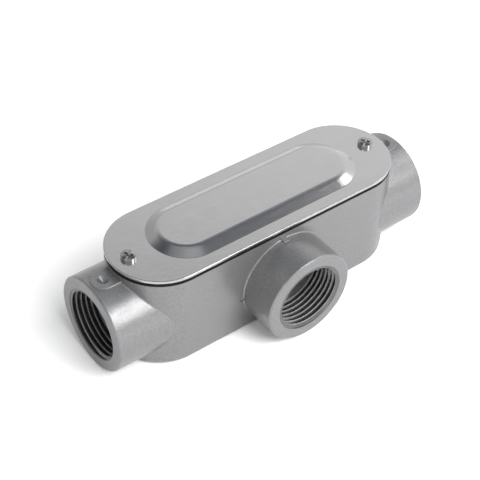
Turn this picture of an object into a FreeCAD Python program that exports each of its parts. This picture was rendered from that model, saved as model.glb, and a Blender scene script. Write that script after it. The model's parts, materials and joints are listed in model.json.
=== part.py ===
import FreeCAD, Part
import math
import os

# Type T conduit body for 3/4 inch rigid conduit: a die-cast aluminium box with three
# threaded hubs, closed by a pressed cover on a rubber gasket that two screws hold.
# Millimetres, +Z up. The origin is on the base face, under the middle of the run. The
# run goes along X, the branch hub points to -Y and the cover is on top.

# Run and branch hubs
RUN_LENGTH = 130.8          # from one run mouth to the other
RUN_PROJECTION = 9.2        # from an end of the box to the run mouth
BRANCH_PROJECTION = 13.9    # from the side of the box to the branch mouth
THREAD_RADIUS = 12.9        # bore at the root of the 14 per inch pipe thread
THREAD_LENGTH = 16.0        # threaded depth of a run hub
HUB_WALL = 4.1              # metal round the thread
HUB_LIFT = 0.3              # from the base plane to the underside of a hub
HUB_LIP = 0.7               # rounding of a mouth's outer edge
BUSHING_LEDGE = 2.5         # stop at the thread's end, down to the smooth bushing
BUSHING_LENGTH = 2.6
ROOT_FILLET = 0.5           # blend between a hub and the box

# Box and wiring chamber
SIDE_MARGIN = 1.0           # from the side of a hub to the side of the box
SEAT_MARGIN = 2.2           # from the top of a hub to the gasket seat
BASE_ROUND = 2.6            # rounding of the bottom edge
WALL = 3.0
CHAMBER_ROUND = 1.8         # rounding of the chamber's floor edge

# Pads on the run hubs
PAD_WIDTH = 8.6
PAD_RISE = 0.4              # above the top of the hub
PAD_MARGIN = 1.2            # from the pad's end to the mouth
PAD_ROUND = 0.3
DIMPLE_RADIUS = 2.05
DIMPLE_DEPTH = 0.2          # straight part, before the drill point
DRILL_POINT = 104.0         # degrees across the drill's point

# Casting marks at the root of the branch hub
NUB_RADIUS = 0.8
NUB_DROP = 2.1              # below the hub's axis
NUB_SHIFT = 0.65            # from the hub's side to the nub's middle
RIB_WIDTH = 2.3             # flat rib on top of the hub, against the box
RIB_LENGTH = 1.9
RIB_RISE = 0.3              # above the top of the hub
RIB_ROUND = 0.2
RIB_SHIFT = 1.2             # from the hub's middle towards the left

# Cover and gasket
GASKET_THICKNESS = 1.4      # its edge is flush with the box
COVER_THICKNESS = 0.9
COVER_OVERHANG = 0.1        # beyond the box, all round
COVER_ROUND = 0.3           # rolled top edge of the sheet
FLANGE_WIDTH = 4.5          # flat edge of the cover, from the box's side to the panel
PANEL_HEAD_GAP = 6.15       # from a screw's head to the panel's end
PANEL_RISE = 1.65
PANEL_SLOPE = 4.8           # width of the sloping side
PANEL_CREST_BEND = 4.0      # radius of the sheet's middle line at the crest
PANEL_FOOT_BEND = 1.2       # and at the foot

# Cover screws and their bosses
SCREW_RADIUS = 1.75
SCREW_LENGTH = 6.2          # under the head
SCREW_HEAD_RADIUS = 2.65
SCREW_HEAD_HEIGHT = 1.15    # side of the head, below its dome
SCREW_DOME = 0.45
SCREW_HEAD_ROUND = 0.2      # between the side and the dome
SLOT_WIDTH = 0.8
SLOT_DEPTH = 0.8
CROSS_LENGTH = 3.2
CROSS_DEPTH = 1.1
SLOT_TURN = 35.0            # degrees from X
BOSS_WALL = 2.45            # metal round the screw's hole
BOSS_MERGE = 1.1            # a boss is sunk that far into the end wall
BOSS_FLOOR = 2.6            # metal below the screw's hole
HOLE_SPARE = 0.5            # hole past the screw's tip
THREAD_PLAY = 0.05          # between a screw and its threaded hole
HOLE_PLAY = 0.35            # between a screw and the cover's or gasket's hole

QUARTER_TURN = 90.0         # degrees
CUTTER_RUN = 1.0            # a cutter starts that far outside the metal
NEAR = 1e-3                 # two places closer than this are the same

X_AXIS = FreeCAD.Vector(1, 0, 0)
Y_AXIS = FreeCAD.Vector(0, 1, 0)
Z_AXIS = FreeCAD.Vector(0, 0, 1)

HUB_RADIUS = THREAD_RADIUS + HUB_WALL
BUSHING_RADIUS = THREAD_RADIUS - BUSHING_LEDGE
TUBE_RADIUS = THREAD_RADIUS + WALL
AXIS_HEIGHT = HUB_RADIUS + HUB_LIFT
BODY_LENGTH = RUN_LENGTH - 2 * RUN_PROJECTION
BODY_WIDTH = 2 * (HUB_RADIUS + SIDE_MARGIN)
BODY_HEIGHT = AXIS_HEIGHT + HUB_RADIUS + SEAT_MARGIN
BRANCH_REACH = BODY_WIDTH / 2 + BRANCH_PROJECTION
PAD_TOP = AXIS_HEIGHT + HUB_RADIUS + PAD_RISE
CHAMBER_LENGTH = BODY_LENGTH - 2 * WALL
CHAMBER_WIDTH = BODY_WIDTH - 2 * WALL
TUBE_END = RUN_LENGTH / 2 - THREAD_LENGTH - BUSHING_LENGTH
COVER_LENGTH = BODY_LENGTH + 2 * COVER_OVERHANG
COVER_WIDTH = BODY_WIDTH + 2 * COVER_OVERHANG
COVER_BASE = BODY_HEIGHT + GASKET_THICKNESS
COVER_TOP = COVER_BASE + COVER_THICKNESS
SCREW_TIP = COVER_TOP - SCREW_LENGTH
BOSS_RADIUS = SCREW_RADIUS + BOSS_WALL
SCREW_PLACE = CHAMBER_LENGTH / 2 - BOSS_RADIUS + BOSS_MERGE
PANEL_LENGTH = 2 * (SCREW_PLACE - SCREW_HEAD_RADIUS - PANEL_HEAD_GAP)
PANEL_WIDTH = BODY_WIDTH - 2 * FLANGE_WIDTH
SIDES = (-1, 1)
HUBS = ((-X_AXIS, RUN_LENGTH / 2), (X_AXIS, RUN_LENGTH / 2), (-Y_AXIS, BRANCH_REACH))


def obround_face(length, width, z):
    """Flat slot outline, round at both X ends, centred on the Z axis at height z."""
    reach = (length - width) / 2
    radius = width / 2
    corner = [FreeCAD.Vector(x, y, z) for x, y in
              ((-reach, -radius), (reach, -radius), (reach, radius), (-reach, radius))]
    front = Part.LineSegment(corner[0], corner[1])
    right = Part.Arc(corner[1], FreeCAD.Vector(reach + radius, 0, z), corner[2])
    rear = Part.LineSegment(corner[2], corner[3])
    left = Part.Arc(corner[3], FreeCAD.Vector(-reach - radius, 0, z), corner[0])
    return Part.Face(Part.Wire([line.toShape() for line in (front, right, rear, left)]))


def obround(length, width, z, height):
    return obround_face(length, width, z).extrude(Z_AXIS * height)


def post(radius, x, z, height):
    """Upright cylinder on the run's middle plane."""
    return Part.makeCylinder(radius, height, FreeCAD.Vector(x, 0, z))


def hub_point(direction, distance):
    """Point on a hub's axis, that far from the crossing of the axes."""
    return direction * distance + Z_AXIS * AXIS_HEIGHT


def hub_bar(direction, radius, start, end):
    """Cylinder on a hub's axis, from start to end."""
    return Part.makeCylinder(radius, end - start, hub_point(direction, start), direction)


def edges_at(shape, axis, place):
    """Edges of the shape that lie whole in the plane at that place along the axis."""
    low = axis + "Min"
    high = axis + "Max"
    return [edge for edge in shape.Edges
            if abs(getattr(edge.BoundBox, low) - place) < NEAR
            and abs(getattr(edge.BoundBox, high) - place) < NEAR]


def hub(direction, reach):
    """Outside of a hub: a bar with a rounded mouth."""
    bar = hub_bar(direction, HUB_RADIUS, 0, reach)
    mouth = [edge for edge in bar.Edges
             if (edge.CenterOfMass - hub_point(direction, reach)).Length < NEAR]
    return bar.makeFillet(HUB_LIP, mouth)


def is_root(edge):
    """Whether an edge runs round a hub, where the hub leaves the side of the box."""
    for point in edge.discretize(9):
        from_run = math.hypot(point.y, point.z - AXIS_HEIGHT)
        from_branch = math.hypot(point.x, point.z - AXIS_HEIGHT)
        on_run = abs(from_run - HUB_RADIUS) < NEAR and abs(point.x) < BODY_LENGTH / 2 + NEAR
        on_branch = abs(from_branch - HUB_RADIUS) < NEAR and abs(point.y) < BODY_WIDTH / 2 + NEAR
        if not (on_run or on_branch):
            return False
    return True


def outer_shape():
    """Box and hubs with filleted roots, pads on the run hubs and the casting marks."""
    hubs = [hub(direction, reach) for direction, reach in HUBS]
    outside = body_block().fuse(hubs).removeSplitter()
    outside = outside.makeFillet(ROOT_FILLET, [edge for edge in outside.Edges if is_root(edge)])
    return outside.fuse([hub_pad(side) for side in SIDES] + [root_nub(), root_rib()])


def hub_pad(side):
    """Raised pad along the top of a run hub, with a round end near the mouth."""
    end = RUN_LENGTH / 2 - PAD_MARGIN
    start = BODY_LENGTH / 2 - PAD_WIDTH
    pad = obround(end - start, PAD_WIDTH, AXIS_HEIGHT, PAD_TOP - AXIS_HEIGHT)
    pad = pad.makeFillet(PAD_ROUND, edges_at(pad, "Z", PAD_TOP))
    pad.translate(X_AXIS * side * (start + end) / 2)
    return pad


def pad_dimple(side):
    """Blind drilled hole at the centre of the pad's round end."""
    x = side * (RUN_LENGTH / 2 - PAD_MARGIN - PAD_WIDTH / 2)
    hole = post(DIMPLE_RADIUS, x, PAD_TOP - DIMPLE_DEPTH, DIMPLE_DEPTH)
    point_depth = DIMPLE_RADIUS / math.tan(math.radians(DRILL_POINT / 2))
    point = Part.makeCone(0, DIMPLE_RADIUS, point_depth,
                          FreeCAD.Vector(x, 0, PAD_TOP - DIMPLE_DEPTH - point_depth))
    return hole.fuse(point)


def root_nub():
    """Round nub where the parting line of the mould meets the branch hub's root."""
    centre = FreeCAD.Vector(-HUB_RADIUS - NUB_SHIFT, -BODY_WIDTH / 2, AXIS_HEIGHT - NUB_DROP)
    return Part.makeSphere(NUB_RADIUS, centre)


def root_rib():
    """Short flat rib on top of the branch hub, against the side of the box."""
    top = AXIS_HEIGHT + HUB_RADIUS + RIB_RISE
    corner = FreeCAD.Vector(-RIB_SHIFT - RIB_WIDTH / 2, -BODY_WIDTH / 2 - RIB_LENGTH, top - WALL)
    rib = Part.makeBox(RIB_WIDTH, RIB_LENGTH + WALL / 2, WALL, corner)
    return rib.makeFillet(RIB_ROUND, edges_at(rib, "Z", top) + edges_at(rib, "Y", corner.y))


def body_block():
    block = obround(BODY_LENGTH, BODY_WIDTH, 0, BODY_HEIGHT)
    return block.makeFillet(BASE_ROUND, edges_at(block, "Z", 0))


def chamber():
    """Open-topped wiring space, less the ends of the hub tubes and the screw bosses."""
    depth = BODY_HEIGHT - WALL
    space = obround(CHAMBER_LENGTH, CHAMBER_WIDTH, WALL, depth)
    space = space.makeFillet(CHAMBER_ROUND, edges_at(space, "Z", WALL))
    boss_base = SCREW_TIP - HOLE_SPARE - BOSS_FLOOR
    for side in SIDES:
        tube = hub_bar(X_AXIS * side, TUBE_RADIUS, TUBE_END, RUN_LENGTH / 2)
        boss = post(BOSS_RADIUS, side * SCREW_PLACE, boss_base, BODY_HEIGHT - boss_base)
        space = space.cut(tube).cut(boss)
    return space


def hub_bores():
    """Thread bores and the smooth bushings behind them, open to the chamber."""
    inner_ends = (TUBE_END, TUBE_END, CHAMBER_WIDTH / 2)
    bores = []
    for (direction, reach), inner_end in zip(HUBS, inner_ends):
        bores.append(hub_bar(direction, THREAD_RADIUS, inner_end + BUSHING_LENGTH, reach))
        bores.append(hub_bar(direction, BUSHING_RADIUS, 0, reach))
    return bores


def body_casting():
    hollows = [chamber()] + hub_bores() + [pad_dimple(side) for side in SIDES]
    for side in SIDES:
        base = SCREW_TIP - HOLE_SPARE
        hollows.append(post(SCREW_RADIUS + THREAD_PLAY, side * SCREW_PLACE, base,
                            BODY_HEIGHT - base))
    return outer_shape().cut(hollows)


def cover_gasket():
    """Flat ring on the seat, with ears over the screw bosses."""
    ring = obround(BODY_LENGTH, BODY_WIDTH, BODY_HEIGHT, GASKET_THICKNESS)
    window = obround(CHAMBER_LENGTH, CHAMBER_WIDTH, BODY_HEIGHT, GASKET_THICKNESS)
    for side in SIDES:
        ear = post(BOSS_RADIUS, side * SCREW_PLACE, BODY_HEIGHT, GASKET_THICKNESS)
        window = window.cut(ear)
    ring = ring.cut(window)
    for side in SIDES:
        hole = post(SCREW_RADIUS + HOLE_PLAY, side * SCREW_PLACE, BODY_HEIGHT, GASKET_THICKNESS)
        ring = ring.cut(hole)
    return ring


def slope_angle():
    """Steepness of the panel's side: two opposite bends joined by a straight flank."""
    bends = PANEL_CREST_BEND + PANEL_FOOT_BEND
    lean = bends - PANEL_RISE
    return math.asin(bends / math.hypot(PANEL_SLOPE, lean)) - math.atan2(lean, PANEL_SLOPE)


def panel_line(shift):
    """Edges of the sheet's middle line from the panel's axis to its foot, moved up by shift.

    They lie in the YZ plane, and +Y is outwards."""
    angle = slope_angle()
    foot = PANEL_WIDTH / 2
    low = COVER_BASE + COVER_THICKNESS / 2

    def on_bend(centre, radius, turn):
        return centre + FreeCAD.Vector(0, radius * math.sin(turn), radius * math.cos(turn))

    crest_centre = FreeCAD.Vector(0, foot - PANEL_SLOPE, low + PANEL_RISE - PANEL_CREST_BEND)
    foot_centre = FreeCAD.Vector(0, foot, low + PANEL_FOOT_BEND)
    crest = [on_bend(crest_centre, PANEL_CREST_BEND + shift, turn)
             for turn in (0, angle / 2, angle)]
    ankle = [on_bend(foot_centre, shift - PANEL_FOOT_BEND, turn)
             for turn in (angle, angle / 2, 0)]
    middle = FreeCAD.Vector(0, 0, crest[0].z)
    return [
        Part.LineSegment(middle, crest[0]).toShape(),
        Part.Arc(*crest).toShape(),
        Part.LineSegment(crest[2], ankle[0]).toShape(),
        Part.Arc(*ankle).toShape(),
    ]


def panel_section():
    """Half section of the raised panel in the YZ plane, as thick as the sheet."""
    upper = panel_line(COVER_THICKNESS / 2)
    lower = panel_line(-COVER_THICKNESS / 2)
    ends = [Part.LineSegment(lower[i].Vertexes[j].Point, upper[i].Vertexes[j].Point).toShape()
            for i, j in ((0, 0), (3, 1))]
    return Part.Face(Part.Wire(Part.__sortEdges__(upper + lower + ends)))


def raised_panel():
    """The section carried along both sides and turned round both ends of the panel."""
    reach = (PANEL_LENGTH - PANEL_WIDTH) / 2
    section = panel_section()
    rear = section.extrude(X_AXIS * 2 * reach)
    rear.translate(X_AXIS * -reach)
    front = rear.mirror(FreeCAD.Vector(), Y_AXIS)
    pieces = [rear, front]
    for side in SIDES:
        end = section.revolve(FreeCAD.Vector(), Z_AXIS * -side, 180)
        end.translate(X_AXIS * side * reach)
        pieces.append(end)
    return pieces


def cover_plate():
    """Flat flange of the cover with the raised panel pressed up in its middle."""
    plate = obround(COVER_LENGTH, COVER_WIDTH, COVER_BASE, COVER_THICKNESS)
    plate = plate.makeFillet(COVER_ROUND, edges_at(plate, "Z", COVER_TOP))
    plate = plate.cut(obround(PANEL_LENGTH, PANEL_WIDTH, COVER_BASE, COVER_THICKNESS))
    plate = plate.fuse(raised_panel()).removeSplitter()
    holes = [post(SCREW_RADIUS + HOLE_PLAY, side * SCREW_PLACE, COVER_BASE, COVER_THICKNESS)
             for side in SIDES]
    return plate.cut(holes)


def screw_head_bar(length, depth, turn):
    """Straight cutter across the top of a screw head, turned about its axis."""
    top = COVER_TOP + SCREW_HEAD_HEIGHT + SCREW_DOME
    bar = Part.makeBox(length, SLOT_WIDTH, depth + CUTTER_RUN,
                       FreeCAD.Vector(-length / 2, -SLOT_WIDTH / 2, top - depth))
    bar.rotate(FreeCAD.Vector(), Z_AXIS, turn)
    return bar


def cover_screw(side):
    """Pan head machine screw with a slot and a cross recess."""
    shoulder = COVER_TOP + SCREW_HEAD_HEIGHT
    rim = SCREW_HEAD_RADIUS
    outline = ((0, SCREW_TIP), (SCREW_RADIUS, SCREW_TIP), (SCREW_RADIUS, COVER_TOP),
               (rim, COVER_TOP), (rim, shoulder))
    corners = [FreeCAD.Vector(r, 0, z) for r, z in outline]
    lines = [Part.LineSegment(a, b).toShape() for a, b in zip(corners, corners[1:])]
    dome_radius = (rim ** 2 + SCREW_DOME ** 2) / (2 * SCREW_DOME)
    crown = FreeCAD.Vector(0, 0, shoulder + SCREW_DOME)
    half_way = FreeCAD.Vector(rim / 2, 0, crown.z - dome_radius
                              + math.sqrt(dome_radius ** 2 - (rim / 2) ** 2))
    lines.append(Part.Arc(corners[-1], half_way, crown).toShape())
    lines.append(Part.LineSegment(crown, corners[0]).toShape())
    screw = Part.Face(Part.Wire(lines)).revolve(FreeCAD.Vector(), Z_AXIS, 360)
    screw = screw.makeFillet(SCREW_HEAD_ROUND, edges_at(screw, "Z", shoulder))
    screw = screw.cut([screw_head_bar(4 * rim, SLOT_DEPTH, SLOT_TURN),
                       screw_head_bar(CROSS_LENGTH, CROSS_DEPTH, SLOT_TURN + QUARTER_TURN)])
    screw.translate(X_AXIS * side * SCREW_PLACE)
    return screw


def main():
    os.makedirs("parts", exist_ok=True)
    nodes = {
        "body_casting": body_casting(),
        "cover_gasket": cover_gasket(),
        "cover_plate": cover_plate(),
        "cover_screw_left": cover_screw(-1),
        "cover_screw_right": cover_screw(1),
    }
    for name, shape in nodes.items():
        shape.exportStep("parts/" + name + ".step")
        print(name, shape.isValid(), round(shape.Volume, 1), len(shape.Solids))


main()
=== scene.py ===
"""Looks of a die-cast T conduit body: finishes, hub threads and stage."""

import json
import math

import bmesh
import bpy
from mathutils import Matrix, Vector


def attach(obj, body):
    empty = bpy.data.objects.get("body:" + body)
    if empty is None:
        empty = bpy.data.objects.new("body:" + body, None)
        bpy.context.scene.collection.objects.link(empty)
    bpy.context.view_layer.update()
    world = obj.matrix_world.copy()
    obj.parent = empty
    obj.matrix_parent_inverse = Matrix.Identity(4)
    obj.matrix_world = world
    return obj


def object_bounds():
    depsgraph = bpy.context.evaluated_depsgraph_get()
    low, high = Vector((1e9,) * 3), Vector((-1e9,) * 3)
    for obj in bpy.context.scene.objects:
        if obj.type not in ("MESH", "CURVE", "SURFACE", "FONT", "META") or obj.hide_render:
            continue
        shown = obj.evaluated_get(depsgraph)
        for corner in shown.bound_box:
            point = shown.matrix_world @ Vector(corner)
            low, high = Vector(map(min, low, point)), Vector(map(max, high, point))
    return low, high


bl_info = {
    "name": "Conduit Body",
    "version": (1, 0, 0),
    "blender": (4, 5, 0),
    "location": "3D View > Sidebar > Conduit",
    "description": "Finishes, threads and stage of a T conduit body",
    "category": "Object",
}

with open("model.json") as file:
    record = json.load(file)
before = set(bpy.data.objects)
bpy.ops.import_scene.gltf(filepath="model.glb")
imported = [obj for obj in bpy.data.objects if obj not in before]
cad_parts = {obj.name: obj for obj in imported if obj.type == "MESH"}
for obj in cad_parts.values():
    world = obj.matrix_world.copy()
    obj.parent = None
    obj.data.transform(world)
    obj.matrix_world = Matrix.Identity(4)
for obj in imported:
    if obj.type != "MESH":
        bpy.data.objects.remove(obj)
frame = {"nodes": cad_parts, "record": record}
CAD_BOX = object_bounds()
HUB_MOUNTS = [mount for mount in frame["record"]["mounts"] if mount["kind"] == "threaded_hole"]
BODY = "root"
MM = 0.001
FULL_TURN = 2 * math.pi
QUARTER_TURN = math.pi / 2


# ---------------------------------------------------------------- settings


class ThreadSettings(bpy.types.PropertyGroup):
    """Sizes of the pipe thread in the hubs."""

    pitch: bpy.props.FloatProperty(
        name="Pitch", description="Advance of the thread in one turn",
        default=1.814 * MM, min=0.5 * MM, unit="LENGTH", precision=5)
    depth: bpy.props.FloatProperty(
        name="Depth", description="Height of a ridge over the bore",
        default=1.05 * MM, min=0.1 * MM, unit="LENGTH", precision=5)
    crest: bpy.props.FloatProperty(
        name="Crest", description="Width of the flat along the top of a ridge",
        default=0.42 * MM, min=0.01 * MM, unit="LENGTH", precision=5)
    lead: bpy.props.FloatProperty(
        name="Lead", description="From the mouth's face to where the ridge is cut off",
        default=0.12 * MM, min=0.0, unit="LENGTH", precision=5)
    fade: bpy.props.FloatProperty(
        name="Fade", description="Turns over which a ridge rises out of the bore inside",
        default=0.3, min=0.01)
    steps: bpy.props.IntProperty(
        name="Steps", description="Straight steps in one turn", default=96, min=12)


class FinishSettings(bpy.types.PropertyGroup):
    """Colours and surface of each material."""

    casting_colour: bpy.props.FloatVectorProperty(
        name="Casting", description="Reflected colour of the cast aluminium",
        subtype="COLOR", size=3, min=0, max=1, default=(0.262, 0.262, 0.265))
    casting_metal: bpy.props.FloatProperty(
        name="Casting shine", description="Share of the cast skin that mirrors like bare metal",
        default=0.74, min=0, max=1)
    casting_roughness: bpy.props.FloatProperty(
        name="Casting roughness", description="Roughness of the cast skin",
        default=0.33, min=0, max=1)
    grain_size: bpy.props.FloatProperty(
        name="Grain", description="Size of the grains of the cast skin",
        default=0.45 * MM, min=0.01 * MM, unit="LENGTH", precision=5)
    grain_depth: bpy.props.FloatProperty(
        name="Grain depth", description="Height of the grains",
        default=0.016 * MM, min=0, unit="LENGTH", precision=6)
    # Painted highlight: the thread crests get a near-white colour so that they look as if they
    # catch the light; the cut metal is the same as on the flanks.
    crest_highlight_colour: bpy.props.FloatVectorProperty(
        name="Painted crest highlight", description="Reflected colour of the bright thread crests",
        subtype="COLOR", size=3, min=0, max=1, default=(0.95, 0.95, 0.955))
    # Painted shade: the thread flanks and grooves get a dark colour so that the gaps between the
    # ridges look shaded; the cut metal is the same as on the crests.
    groove_shade_colour: bpy.props.FloatVectorProperty(
        name="Painted groove shade", description="Reflected colour of the dull thread flanks",
        subtype="COLOR", size=3, min=0, max=1, default=(0.17, 0.17, 0.173))
    thread_roughness: bpy.props.FloatProperty(
        name="Cut roughness", description="Roughness of the cut threads",
        default=0.18, min=0, max=1)
    cover_colour: bpy.props.FloatVectorProperty(
        name="Cover", description="Reflected colour of the pressed cover",
        subtype="COLOR", size=3, min=0, max=1, default=(0.55, 0.54, 0.54))
    cover_roughness: bpy.props.FloatProperty(
        name="Cover roughness", description="Roughness of the cover's satin sheet",
        default=0.18, min=0, max=1)
    rubber_colour: bpy.props.FloatVectorProperty(
        name="Rubber", description="Colour of the gasket",
        subtype="COLOR", size=3, min=0, max=1, default=(0.006, 0.006, 0.0065))
    zinc_colour: bpy.props.FloatVectorProperty(
        name="Zinc", description="Reflected colour of the screws' plating",
        subtype="COLOR", size=3, min=0, max=1, default=(0.36, 0.40, 0.41))
    zinc_tint: bpy.props.FloatVectorProperty(
        name="Zinc tint", description="Second colour of the plating, in clouds",
        subtype="COLOR", size=3, min=0, max=1, default=(0.43, 0.39, 0.34))
    zinc_roughness: bpy.props.FloatProperty(
        name="Zinc roughness", description="Roughness of the plating",
        default=0.12, min=0, max=1)


class StageSettings(bpy.types.PropertyGroup):
    """Camera, lamps and floor."""

    azimuth: bpy.props.FloatProperty(
        name="Azimuth", description="Camera's bearing from the front, towards the left",
        subtype="ANGLE", default=math.radians(39.26))
    elevation: bpy.props.FloatProperty(
        name="Elevation", description="Camera's height above the horizon",
        subtype="ANGLE", default=math.radians(42.57))
    roll: bpy.props.FloatProperty(
        name="Roll", description="Camera's turn about its own axis",
        subtype="ANGLE", default=math.radians(2.54))
    distance: bpy.props.FloatProperty(
        name="Distance", description="From the camera to what it looks at",
        default=424.18 * MM, min=0.05, unit="LENGTH")
    target: bpy.props.FloatVectorProperty(
        name="Target", description="Point that the camera looks at",
        size=3, subtype="TRANSLATION", unit="LENGTH",
        default=(-6.54 * MM, -1.91 * MM, 24.40 * MM))
    lens: bpy.props.FloatProperty(
        name="Lens", description="Focal length on a 36 mm sensor, in millimetres",
        default=93.70, min=10)
    front_softbox: bpy.props.FloatProperty(
        name="Front softbox", description="Brightness of the softbox at the front right",
        default=5.4, min=0)
    side_softbox: bpy.props.FloatProperty(
        name="Side softbox", description="Brightness of the softbox on the right",
        default=2.5, min=0)
    shadow_lamp: bpy.props.FloatProperty(
        name="Shadow lamp", description="Power of the soft lamp that casts the shadow, in watts",
        default=6.6, min=0)
    floor_colour: bpy.props.FloatVectorProperty(
        name="Floor", description="Colour of the floor",
        subtype="COLOR", size=3, min=0, max=1, default=(0.77, 0.77, 0.77))
    backdrop_colour: bpy.props.FloatVectorProperty(
        name="Backdrop", description="Colour of the floor as the camera sees it",
        subtype="COLOR", size=3, min=0, max=1, default=(0.98, 0.977, 0.972))
    floor_glow: bpy.props.FloatProperty(
        name="Floor glow", description="What the floor adds of its own near the object",
        default=0.02, min=0)


# ---------------------------------------------------------------- node helpers

NOISE_BAND = (0.3, 0.7)


def material_tree(name):
    """New material; returns it, its tree and its shader."""
    material = bpy.data.materials.new(name)
    material.use_nodes = True
    tree = material.node_tree
    return material, tree, tree.nodes["Principled BSDF"]


def add(tree, kind, **values):
    """Adds a node, and sets its inputs by name or its own attributes."""
    node = tree.nodes.new(kind)
    for key, value in values.items():
        socket = node.inputs.get(key.replace("_", " "))
        if socket is not None:
            socket.default_value = value
        else:
            setattr(node, key, value)
    return node


def calculate(tree, operation, *terms):
    """Math node on numbers or sockets."""
    node = add(tree, "ShaderNodeMath", operation=operation)
    for socket, term in zip(node.inputs, terms):
        if isinstance(term, (int, float)):
            socket.default_value = term
        else:
            tree.links.new(term, socket)
    return node.outputs[0]


def rescale(tree, signal, old, new):
    """Carries the old range of a signal over to the new one, and stops at its ends."""
    node = add(tree, "ShaderNodeMapRange", From_Min=old[0], From_Max=old[1],
               To_Min=new[0], To_Max=new[1])
    tree.links.new(signal, node.inputs["Value"])
    return node.outputs["Result"]


def noise(tree, size, stretch=(1, 1, 1), detail=3):
    """Noise whose features are about that size, pulled out along the stretched axes."""
    place = add(tree, "ShaderNodeTexCoord")
    mapping = add(tree, "ShaderNodeMapping", Scale=tuple(1 / pull for pull in stretch))
    pattern = add(tree, "ShaderNodeTexNoise", Scale=1 / size, Detail=detail)
    tree.links.new(place.outputs["Object"], mapping.inputs["Vector"])
    tree.links.new(mapping.outputs["Vector"], pattern.inputs["Vector"])
    return pattern.outputs["Fac"]


def blend(tree, factor, first, second):
    """Goes from the first colour to the second with the factor."""
    mix = add(tree, "ShaderNodeMix", data_type="RGBA")
    sockets = {socket.identifier: socket for socket in mix.inputs}
    sockets["A_Color"].default_value = tuple(first) + (1,)
    sockets["B_Color"].default_value = tuple(second) + (1,)
    tree.links.new(factor, sockets["Factor_Float"])
    return next(socket for socket in mix.outputs if socket.identifier == "Result_Color")


# ---------------------------------------------------------------- materials


def shade(tree, shader, signal, colour, low, high):
    """Colours the shader with the colour times a factor that follows the noise."""
    dark, light = [tuple(min(channel * level, 1) for channel in colour)
                   for level in (low, high)]
    follow = rescale(tree, signal, NOISE_BAND, (0, 1))
    tree.links.new(blend(tree, follow, dark, light), shader.inputs["Base Color"])


def roughen(tree, shader, signal, low, high):
    """Sets the shader's roughness, which follows the noise."""
    tree.links.new(rescale(tree, signal, NOISE_BAND, (low, high)), shader.inputs["Roughness"])


def raise_bumps(tree, shader, *layers):
    """Puts layers of (signal, height in metres) on the shader's normal."""
    normal = None
    for signal, height in layers:
        bump = add(tree, "ShaderNodeBump", Distance=height, Strength=1.0)
        tree.links.new(signal, bump.inputs["Height"])
        if normal is not None:
            tree.links.new(normal, bump.inputs["Normal"])
        normal = bump.outputs["Normal"]
    tree.links.new(normal, shader.inputs["Normal"])


def cast_aluminium(finish):
    """Satin skin of a die casting: fine grain, soft flow marks and slight blotches."""
    material, tree, shader = material_tree("cast aluminium")
    shader.inputs["Metallic"].default_value = finish.casting_metal
    speckle = noise(tree, size=0.6 * MM)
    flow = noise(tree, size=2.2 * MM, stretch=(2.5, 1, 1))
    grain = noise(tree, size=finish.grain_size, detail=4)
    rough = finish.casting_roughness
    shade(tree, shader, speckle, finish.casting_colour, low=0.88, high=1.12)
    roughen(tree, shader, flow, low=rough - 0.04, high=rough + 0.05)
    raise_bumps(tree, shader, (flow, 0.02 * MM), (grain, finish.grain_depth))
    return material


def cut_aluminium(finish, name, colour, metal):
    """Metal of the cut threads, with fine tool marks; metal is the share that mirrors. The
    colour given is painted light: a highlight on the crests or shade on the flanks.
    """
    material, tree, shader = material_tree(name)
    shader.inputs["Metallic"].default_value = metal
    marks = noise(tree, size=0.8 * MM)
    rough = finish.thread_roughness
    shade(tree, shader, marks, colour, low=0.9, high=1.06)
    roughen(tree, shader, marks, low=rough - 0.03, high=rough + 0.07)
    raise_bumps(tree, shader, (marks, 0.001 * MM))
    return material


def pressed_sheet(finish):
    """Satin rolled sheet: long faint rolling lines, soft mottling and a very fine tooth."""
    material, tree, shader = material_tree("pressed aluminium sheet")
    shader.inputs["Metallic"].default_value = 1.0
    lines = noise(tree, size=0.5 * MM, stretch=(12, 1, 1), detail=2)
    cloud = noise(tree, size=6 * MM, detail=6)
    tooth = noise(tree, size=0.3 * MM, detail=2)
    mottle = noise(tree, size=1.0 * MM, stretch=(2.5, 1, 1))
    rough = finish.cover_roughness
    shade(tree, shader, cloud, finish.cover_colour, low=0.98, high=1.02)
    roughen(tree, shader, lines, low=rough - 0.01, high=rough + 0.02)
    raise_bumps(tree, shader, (lines, 0.0004 * MM), (mottle, 0.016 * MM), (tooth, 0.001 * MM))
    return material


def black_rubber(finish):
    """Matt black rubber with a dusty bloom and a fine pitted skin."""
    material, tree, shader = material_tree("black rubber")
    shader.inputs["Specular IOR Level"].default_value = 0.1
    bloom = noise(tree, size=3 * MM, detail=4)
    pits = noise(tree, size=0.25 * MM)
    shade(tree, shader, bloom, finish.rubber_colour, low=0.7, high=1.6)
    roughen(tree, shader, pits, low=0.5, high=0.7)
    raise_bumps(tree, shader, (pits, 0.02 * MM))
    return material


def bright_zinc(finish):
    """Bright zinc plating with faint cloudy tints."""
    material, tree, shader = material_tree("bright zinc plate")
    shader.inputs["Metallic"].default_value = 1.0
    cloud = noise(tree, size=0.9 * MM)
    tint = rescale(tree, noise(tree, size=1.6 * MM, detail=2), NOISE_BAND, (0, 1))
    rough = finish.zinc_roughness
    tree.links.new(blend(tree, tint, finish.zinc_colour, finish.zinc_tint),
                   shader.inputs["Base Color"])
    roughen(tree, shader, cloud, low=rough - 0.04, high=rough + 0.06)
    raise_bumps(tree, shader, (cloud, 0.02 * MM))
    return material


def dress(node, material):
    """Gives a carried-over part its finished material."""
    part = frame["nodes"][node]
    part.data.materials.clear()
    part.data.materials.append(material)


# ---------------------------------------------------------------- threads

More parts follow.
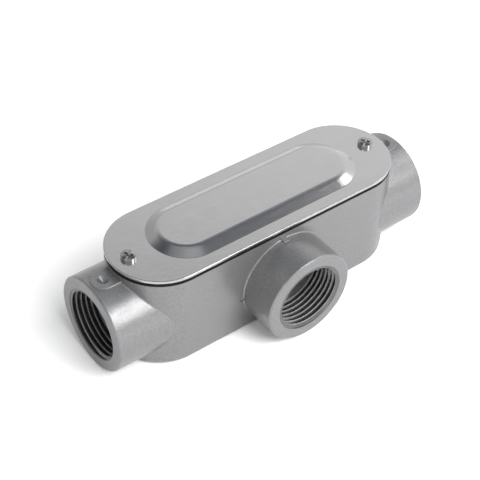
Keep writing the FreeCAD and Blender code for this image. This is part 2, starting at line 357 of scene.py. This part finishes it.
# Shares of the ridge's depth: how far its foot is sunk into the bore's wall, how far the
# first turn starts outside the bore, and how high the crest with its painted highlight begins.
FOOT_SUNK = 0.12
START_HIDDEN = 1.05
CREST_HIGHLIGHT_BEGINS = 0.9

# Shares of the pitch: where the ridge begins inside the thread's end, how far past the
# mouth's face it runs before it is cut off, and how wide its foot is.
START_INSIDE = 0.5
RUN_PAST = 1.1
FOOT_WIDTH = 1.06

SHARP_BEND = math.radians(20)


def tree_input(tree, name, kind):
    """Adds a named input to a tree and returns its identifier."""
    return tree.interface.new_socket(name, in_out="INPUT", socket_type=kind).identifier


def ridge_path(tree, given):
    """Helix that starts outside the bore, comes in over the fade and leaves the mouth."""
    def calc(operation, *terms):
        return calculate(tree, operation, *terms)

    pitch, depth = given["Pitch"], given["Depth"]
    wound = calc("ADD", given["Length"], calc("MULTIPLY", pitch, RUN_PAST - START_INSIDE))
    turns = calc("DIVIDE", wound, pitch)
    count = calc("ADD", calc("ROUND", calc("MULTIPLY", turns, given["Steps"])), 1)
    line = add(tree, "GeometryNodeMeshLine")
    tree.links.new(count, line.inputs["Count"])
    index = add(tree, "GeometryNodeInputIndex").outputs["Index"]
    done = calc("MULTIPLY", turns, calc("DIVIDE", index, calc("SUBTRACT", count, 1)))
    rise = calc("MINIMUM", calc("DIVIDE", done, given["Fade"]), 1)
    ease = calc("SINE", calc("MULTIPLY", rise, QUARTER_TURN))
    left = calc("SUBTRACT", START_HIDDEN, calc("MULTIPLY", ease, START_HIDDEN))
    foot = calc("ADD", given["Bore"], calc("MULTIPLY", depth, FOOT_SUNK))
    radius = calc("ADD", foot, calc("MULTIPLY", depth, left))
    angle = calc("MULTIPLY", done, FULL_TURN)
    start = calc("SUBTRACT", calc("MULTIPLY", pitch, START_INSIDE), given["Length"])
    place = add(tree, "ShaderNodeCombineXYZ")
    tree.links.new(calc("MULTIPLY", radius, calc("COSINE", angle)), place.inputs["X"])
    tree.links.new(calc("MULTIPLY", radius, calc("SINE", angle)), place.inputs["Y"])
    tree.links.new(calc("ADD", start, calc("MULTIPLY", done, pitch)), place.inputs["Z"])
    wind = add(tree, "GeometryNodeSetPosition")
    tree.links.new(line.outputs["Mesh"], wind.inputs["Geometry"])
    tree.links.new(place.outputs["Vector"], wind.inputs["Position"])
    path = add(tree, "GeometryNodeMeshToCurve")
    tree.links.new(wind.outputs["Geometry"], path.inputs["Mesh"])
    upright = add(tree, "GeometryNodeSetCurveNormal", mode="Z_UP")
    tree.links.new(path.outputs["Curve"], upright.inputs["Curve"])
    return upright.outputs["Curve"]


def ridge_section(tree, given):
    """Tapered section of the ridge, with its foot on the path and its crest inwards."""
    depth = given["Depth"]
    tall = calculate(tree, "ADD", depth, calculate(tree, "MULTIPLY", depth, FOOT_SUNK))
    foot = calculate(tree, "MULTIPLY", given["Pitch"], FOOT_WIDTH)
    section = add(tree, "GeometryNodeCurvePrimitiveQuadrilateral", mode="TRAPEZOID", Offset=0.0)
    tree.links.new(foot, section.inputs["Bottom Width"])
    tree.links.new(given["Crest"], section.inputs["Top Width"])
    tree.links.new(tall, section.inputs["Height"])
    shift = add(tree, "ShaderNodeCombineXYZ")
    tree.links.new(calculate(tree, "MULTIPLY", tall, -0.5), shift.inputs["X"])
    turned = add(tree, "GeometryNodeTransform", Rotation=(0, 0, QUARTER_TURN))
    tree.links.new(section.outputs["Curve"], turned.inputs["Geometry"])
    tree.links.new(shift.outputs["Vector"], turned.inputs["Translation"])
    return turned.outputs["Geometry"]


def keep_edges_sharp(tree, geometry):
    """Shades a mesh smooth but for the edges where it bends sharply."""
    smooth = add(tree, "GeometryNodeSetShadeSmooth")
    tree.links.new(geometry, smooth.inputs["Geometry"])
    bend = add(tree, "GeometryNodeInputMeshEdgeAngle").outputs["Unsigned Angle"]
    sharp = add(tree, "GeometryNodeSetShadeSmooth", domain="EDGE", Shade_Smooth=False)
    tree.links.new(smooth.outputs["Geometry"], sharp.inputs["Geometry"])
    tree.links.new(calculate(tree, "GREATER_THAN", bend, SHARP_BEND), sharp.inputs["Selection"])
    return sharp.outputs["Geometry"]


def near_axis(tree, reach):
    """True where the mesh is nearer to the Z axis than the reach."""
    flat = add(tree, "ShaderNodeVectorMath", operation="MULTIPLY")
    flat.inputs[1].default_value = (1, 1, 0)
    tree.links.new(add(tree, "GeometryNodeInputPosition").outputs["Position"], flat.inputs[0])
    away = add(tree, "ShaderNodeVectorMath", operation="LENGTH")
    tree.links.new(flat.outputs["Vector"], away.inputs[0])
    return calculate(tree, "LESS_THAN", away.outputs["Value"], reach)


def thread_tree():
    """Geometry nodes that wind one tapered ridge through a mouth at height zero.

    Returns the tree and its inputs' identifiers by name. The ridge stands inside a bore
    along Z, and its foot is sunk a little into the bore's wall."""
    tree = bpy.data.node_groups.new("pipe thread", "GeometryNodeTree")
    kinds = {"Pitch": "Float", "Depth": "Float", "Crest": "Float", "Bore": "Float",
             "Length": "Float", "Fade": "Float", "Steps": "Int",
             "Groove shade finish": "Material", "Crest highlight finish": "Material"}
    keys = {name: tree_input(tree, name, "NodeSocket" + kind) for name, kind in kinds.items()}
    tree.interface.new_socket("Geometry", in_out="OUTPUT", socket_type="NodeSocketGeometry")
    given = add(tree, "NodeGroupInput").outputs
    sweep = add(tree, "GeometryNodeCurveToMesh", Fill_Caps=True)
    tree.links.new(ridge_path(tree, given), sweep.inputs["Curve"])
    tree.links.new(ridge_section(tree, given), sweep.inputs["Profile Curve"])
    real = add(tree, "GeometryNodeRealizeInstances")
    tree.links.new(keep_edges_sharp(tree, sweep.outputs["Mesh"]), real.inputs["Geometry"])
    # Painted shade: the whole ridge first gets the dark groove colour.
    dull = add(tree, "GeometryNodeSetMaterial")
    tree.links.new(real.outputs["Geometry"], dull.inputs["Geometry"])
    tree.links.new(given["Groove shade finish"], dull.inputs["Material"])
    # Painted highlight: faces nearer the axis than this, the crests, get the near-white crest
    # colour.
    highlight_height = calculate(tree, "MULTIPLY", given["Depth"], CREST_HIGHLIGHT_BEGINS)
    highlight_radius = calculate(tree, "SUBTRACT", given["Bore"], highlight_height)
    bright = add(tree, "GeometryNodeSetMaterial")
    tree.links.new(dull.outputs["Geometry"], bright.inputs["Geometry"])
    tree.links.new(near_axis(tree, highlight_radius), bright.inputs["Selection"])
    tree.links.new(given["Crest highlight finish"], bright.inputs["Material"])
    out = add(tree, "NodeGroupOutput")
    tree.links.new(bright.outputs["Geometry"], out.inputs["Geometry"])
    return tree, keys


def grow(name, tree, keys, values):
    """Runs a tree on an empty mesh and returns the result as a plain mesh."""
    holder = bpy.data.objects.new(name, bpy.data.meshes.new(name))
    bpy.context.collection.objects.link(holder)
    modifier = holder.modifiers.new("build", "NODES")
    modifier.node_group = tree
    for key, value in values.items():
        modifier[keys[key]] = value
    bpy.context.view_layer.update()
    grown = holder.evaluated_get(bpy.context.evaluated_depsgraph_get())
    mesh = bpy.data.meshes.new_from_object(grown)
    bpy.data.objects.remove(holder)
    mesh.name = name
    return mesh


def face_off(mesh, height):
    """Cuts away what lies over a height, as a lathe faces a mouth.

    The cut is closed, and its rim is kept sharp."""
    work = bmesh.new()
    work.from_mesh(mesh)
    every = work.verts[:] + work.edges[:] + work.faces[:]
    cut = bmesh.ops.bisect_plane(work, geom=every, plane_co=(0, 0, height),
                                 plane_no=(0, 0, 1), clear_outer=True)
    rim = [item for item in cut["geom_cut"] if isinstance(item, bmesh.types.BMEdge)]
    # The filled cut takes the mesh's first material, the painted groove shade, so the cut at the
    # mouth reads as a shaded opening.
    bmesh.ops.triangle_fill(work, use_beauty=True, edges=rim)
    for edge in rim:
        edge.smooth = False
    work.to_mesh(mesh)
    work.free()


def settle(name, mesh):
    """Makes a finished mesh a piece of the casting's body."""
    piece = bpy.data.objects.new(name, mesh)
    bpy.context.collection.objects.link(piece)
    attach(piece, BODY)


def outward(mount):
    """Matrix that carries a mouth at height zero, opening upwards, to the hub's mouth."""
    axis = Vector(mount["axis"]).normalized()
    turn = Vector((0, 0, 1)).rotation_difference(axis).to_matrix().to_4x4()
    return Matrix.Translation(Vector(mount["pos_m"])) @ turn


# ---------------------------------------------------------------- stage

# Distances in metres from the origin.
SOFTBOX_DISTANCE = 0.9
SHADOW_LAMP_DISTANCE = 0.8
FLOOR_REACH = 3.0
GLOW_RISES = (0.35, 1.0)

SHADOW_LAMP_WIDTH = 0.6
SENSOR_WIDTH_MM = 36
NEAR_CLIP = 0.01

# Brightness of the surroundings by the sine of the height over the horizon: white walls,
# a dark ceiling and a paler patch straight above.
CEILING = ((0.0, 1.0), (0.60, 1.0), (0.68, 0.92), (0.76, 0.36),
           (0.84, 0.20), (0.90, 0.16), (0.95, 0.5), (1.0, 0.6))

# Half-dark parts of the ceiling lose this share of red and gain this share of blue.
RED_LOST = 0.06
BLUE_GAINED = 0.12


def seen_or_mirrored(tree):
    """One for rays from the camera and for mirrored and transmitted rays, else nought."""
    path = add(tree, "ShaderNodeLightPath")
    seen = calculate(tree, "MAXIMUM", path.outputs["Is Camera Ray"],
                     path.outputs["Is Glossy Ray"])
    return calculate(tree, "MAXIMUM", seen, path.outputs["Is Transmission Ray"])


def floor_material(stage):
    """Pale floor that keeps the shadow, whiter to the camera, with a glow far away."""
    material, tree, shader = material_tree("pale floor")
    tree.nodes.remove(shader)
    matt = add(tree, "ShaderNodeBsdfDiffuse")
    seen = add(tree, "ShaderNodeLightPath").outputs["Is Camera Ray"]
    tree.links.new(blend(tree, seen, stage.floor_colour, stage.backdrop_colour),
                   matt.inputs["Color"])
    place = add(tree, "ShaderNodeTexCoord")
    away = add(tree, "ShaderNodeVectorMath", operation="LENGTH")
    tree.links.new(place.outputs["Object"], away.inputs[0])
    far = rescale(tree, away.outputs["Value"], GLOW_RISES, (stage.floor_glow, 1))
    glow = add(tree, "ShaderNodeEmission")
    tree.links.new(calculate(tree, "MULTIPLY", seen_or_mirrored(tree), far),
                   glow.inputs["Strength"])
    both = add(tree, "ShaderNodeAddShader")
    tree.links.new(matt.outputs["BSDF"], both.inputs[0])
    tree.links.new(glow.outputs["Emission"], both.inputs[1])
    tree.links.new(both.outputs["Shader"], tree.nodes["Material Output"].inputs["Surface"])
    return material


def make_floor(stage):
    """Square floor level with the underside of the casting."""
    low = CAD_BOX[0][2]
    corners = [(x * FLOOR_REACH, y * FLOOR_REACH, low)
               for x, y in ((-1, -1), (1, -1), (1, 1), (-1, 1))]
    mesh = bpy.data.meshes.new("floor")
    mesh.from_pydata(corners, [], [(0, 1, 2, 3)])
    mesh.materials.append(floor_material(stage))
    floor = bpy.data.objects.new("floor", mesh)
    bpy.context.collection.objects.link(floor)


def aim(bearing, height):
    """Direction at a bearing from X and a height over the floor, both in degrees."""
    bearing, height = math.radians(bearing), math.radians(height)
    return Vector((math.cos(height) * math.cos(bearing),
                   math.cos(height) * math.sin(bearing), math.sin(height)))


def hang(lamp, place):
    """Hangs a lamp at a place, turned to the origin."""
    holder = bpy.data.objects.new(lamp.name, lamp)
    holder.location = place
    holder.rotation_euler = place.to_track_quat("Z", "Y").to_euler()
    bpy.context.collection.objects.link(holder)
    return holder


def make_softbox(name, brightness, bearing, height, size):
    """Softbox that shows that bright in a mirror, where white is 1.

    Bearing is in degrees from X, height in degrees over the floor, size in metres."""
    lamp = bpy.data.lights.new(name, "AREA")
    lamp.shape = "RECTANGLE"
    lamp.size, lamp.size_y = size
    lamp.energy = brightness * math.pi * lamp.size * lamp.size_y
    hang(lamp, aim(bearing, height) * SOFTBOX_DISTANCE)


def make_shadow_lamp(power, bearing, height):
    """Large soft lamp beside the front softbox, that mirrors don't show."""
    lamp = bpy.data.lights.new("shadow lamp", "AREA")
    lamp.shape = "DISK"
    lamp.size = SHADOW_LAMP_WIDTH
    lamp.energy = power
    holder = hang(lamp, aim(bearing, height) * SHADOW_LAMP_DISTANCE)
    holder.visible_glossy = False


def ceiling_colour(tree, sine_of_height):
    """Colour of the surroundings at a height over the horizon."""
    node = add(tree, "ShaderNodeValToRGB")
    elements = node.color_ramp.elements
    while len(elements) < len(CEILING):
        elements.new(0.5)
    for element, (position, level) in zip(elements, CEILING):
        half_dark = level * (1 - level)
        element.position = position
        element.color = (level - RED_LOST * half_dark, level, level + BLUE_GAINED * half_dark, 1)
    tree.links.new(sine_of_height, node.inputs["Fac"])
    return node.outputs["Color"]


def make_world():
    """White walls and a dark ceiling, dimmer behind the left end and straight behind.

    The camera sees plain white instead."""
    world = bpy.data.worlds.new("studio")
    bpy.context.scene.world = world
    world.use_nodes = True
    tree = world.node_tree
    place = add(tree, "ShaderNodeTexCoord")
    split = add(tree, "ShaderNodeSeparateXYZ")
    tree.links.new(place.outputs["Generated"], split.inputs["Vector"])
    rightward, backward, upward = (split.outputs[axis] for axis in "XYZ")
    right = rescale(tree, rightward, old=(-0.5, 0.55), new=(0.5, 1))
    front = rescale(tree, backward, old=(0.3, -0.1), new=(0, 1))
    back = rescale(tree, backward, old=(0.65, 0.9), new=(1, 0.7))
    strength = calculate(tree, "MULTIPLY", calculate(tree, "MAXIMUM", right, front), back)
    light = tree.nodes["Background"]
    tree.links.new(ceiling_colour(tree, upward), light.inputs["Color"])
    tree.links.new(strength, light.inputs["Strength"])
    white = add(tree, "ShaderNodeBackground", Color=(1, 1, 1, 1), Strength=1.0)
    path = add(tree, "ShaderNodeLightPath")
    mix = add(tree, "ShaderNodeMixShader")
    tree.links.new(path.outputs["Is Camera Ray"], mix.inputs["Fac"])
    tree.links.new(light.outputs["Background"], mix.inputs[1])
    tree.links.new(white.outputs["Background"], mix.inputs[2])
    tree.links.new(mix.outputs["Shader"], tree.nodes["World Output"].inputs["Surface"])


def make_camera(stage):
    """Camera above the front left, looking down on the cover."""
    bearing, height = stage.azimuth, stage.elevation
    back = Vector((-math.sin(bearing) * math.cos(height),
                   -math.cos(bearing) * math.cos(height), math.sin(height)))
    right = Vector((math.cos(bearing), -math.sin(bearing), 0))
    up = back.cross(right)
    spin = Matrix.Rotation(stage.roll, 3, back)
    turn = Matrix((spin @ right, spin @ up, back)).transposed()
    lens = bpy.data.cameras.new("camera")
    lens.sensor_width = SENSOR_WIDTH_MM
    lens.lens = stage.lens
    lens.clip_start = NEAR_CLIP
    camera = bpy.data.objects.new("camera", lens)
    place = Vector(stage.target) + back * stage.distance
    camera.matrix_world = Matrix.Translation(place) @ turn.to_4x4()
    bpy.context.collection.objects.link(camera)
    bpy.context.scene.camera = camera


# ---------------------------------------------------------------- operators


class CONDUIT_OT_finishes(bpy.types.Operator):
    """Gives the casting, gasket, cover and screws their finishes"""

    bl_idname = "conduit.finishes"
    bl_label = "Finishes"

    def execute(self, context):
        finish = context.scene.conduit_finish
        dress("body_casting", cast_aluminium(finish))
        dress("cover_plate", pressed_sheet(finish))
        dress("cover_gasket", black_rubber(finish))
        zinc = bright_zinc(finish)
        for node in ("cover_screw_left", "cover_screw_right"):
            dress(node, zinc)
        return {"FINISHED"}


class CONDUIT_OT_threads(bpy.types.Operator):
    """Winds the pipe thread of each hub"""

    bl_idname = "conduit.threads"
    bl_label = "Hub threads"

    def execute(self, context):
        sizes = context.scene.conduit_thread
        finish = context.scene.conduit_finish
        # Painted shade: the same cut metal, made dark on the flanks and in the grooves.
        groove = cut_aluminium(finish, "cut aluminium with painted groove shade", finish.groove_shade_colour, metal=0.9)
        # Painted highlight: the same cut metal, made near-white on the crests.
        crest = cut_aluminium(finish, "cut aluminium with painted crest highlight", finish.crest_highlight_colour, metal=0.68)
        tree, keys = thread_tree()
        for mount in HUB_MOUNTS:
            name = "thread_" + mount["name"]
            mesh = grow(name, tree, keys, {
                "Pitch": sizes.pitch, "Depth": sizes.depth, "Crest": sizes.crest,
                "Bore": mount["dims"]["r_mm"] * MM, "Length": mount["dims"]["length_mm"] * MM,
                "Fade": sizes.fade, "Steps": sizes.steps,
                "Groove shade finish": groove, "Crest highlight finish": crest,
            })
            if not mesh.polygons:
                raise RuntimeError("the thread tree made no faces for " + mount["name"])
            face_off(mesh, -sizes.lead)
            mesh.transform(outward(mount))
            settle(name, mesh)
        return {"FINISHED"}


class CONDUIT_OT_stage(bpy.types.Operator):
    """Sets the floor, the lamps, the surroundings and the camera"""

    bl_idname = "conduit.stage"
    bl_label = "Stage"

    def execute(self, context):
        stage = context.scene.conduit_stage
        make_floor(stage)
        make_softbox("front softbox", stage.front_softbox, bearing=-66, height=38,
                     size=(0.32, 0.50))
        make_softbox("side softbox", stage.side_softbox, bearing=-12, height=45,
                     size=(0.46, 0.22))
        make_shadow_lamp(stage.shadow_lamp, bearing=-84, height=55)
        make_world()
        make_camera(stage)
        context.scene.view_settings.view_transform = "Standard"
        return {"FINISHED"}


class CONDUIT_PT_sidebar(bpy.types.Panel):
    """Lists the settings, the pieces and the stage"""

    bl_idname = "CONDUIT_PT_sidebar"
    bl_label = "Conduit Body"
    bl_space_type = "VIEW_3D"
    bl_region_type = "UI"
    bl_category = "Conduit"

    def draw(self, context):
        scene = context.scene
        for group in (scene.conduit_thread, scene.conduit_finish, scene.conduit_stage):
            box = self.layout.box()
            for name in group.__annotations__:
                box.prop(group, name)
        for step in STEPS:
            self.layout.operator("conduit." + step)


# ---------------------------------------------------------------- registration

STEPS = ("finishes", "threads", "stage")
CLASSES = (ThreadSettings, FinishSettings, StageSettings, CONDUIT_OT_finishes,
           CONDUIT_OT_threads, CONDUIT_OT_stage, CONDUIT_PT_sidebar)
SETTINGS = {
    "conduit_thread": ThreadSettings,
    "conduit_finish": FinishSettings,
    "conduit_stage": StageSettings,
}


def register():
    """Registers the classes and hangs the settings on the scene."""
    for cls in CLASSES:
        bpy.utils.register_class(cls)
    for name, group in SETTINGS.items():
        setattr(bpy.types.Scene, name, bpy.props.PointerProperty(type=group))


def unregister():
    """Takes back all that register did."""
    for name in SETTINGS:
        delattr(bpy.types.Scene, name)
    for cls in reversed(CLASSES):
        bpy.utils.unregister_class(cls)


def main():
    """Runs each step in order."""
    register()
    for step in STEPS:
        getattr(bpy.ops.conduit, step)()


if __name__ == "__main__":
    main()
